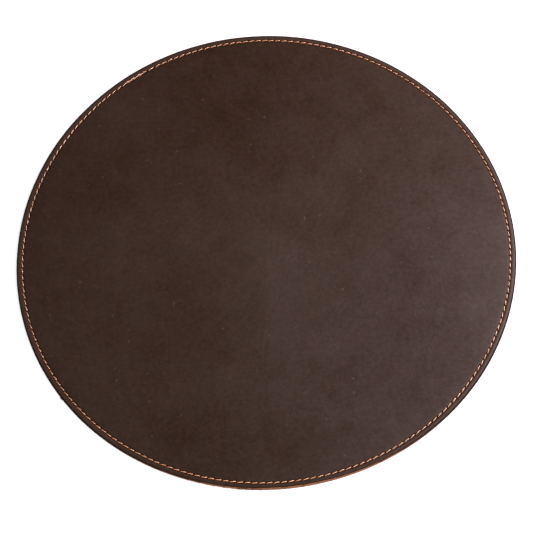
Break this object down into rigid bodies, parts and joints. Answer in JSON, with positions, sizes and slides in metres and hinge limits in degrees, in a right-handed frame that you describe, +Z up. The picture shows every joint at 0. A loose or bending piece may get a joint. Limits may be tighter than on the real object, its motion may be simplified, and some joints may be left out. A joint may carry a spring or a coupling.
{
  "type": "mouse pad",
  "caption": "Round leather mouse pad: a thin disc of dark brown waxed hide with an orange lockstitch seam sewn round its raw cut edge.",
  "frame": {"origin": "centre of the underside, on the desk", "axes": "+Z up out of the mousing face; +X to the right and +Y away from the person at the desk"},
  "size_m": [0.26, 0.26, 0.0022],
  "materials": {
    "waxed_hide": "oiled and waxed pull-up grain, satin, with a raw tan cut edge and a napped underside",
    "sewing_thread": "twisted and bonded polyester, satin"
  },
  "bodies": {
    "root": {"leather_disc": "waxed_hide", "needle_thread": "sewing_thread", "bobbin_thread": "sewing_thread"}
  },
  "joints": []
}
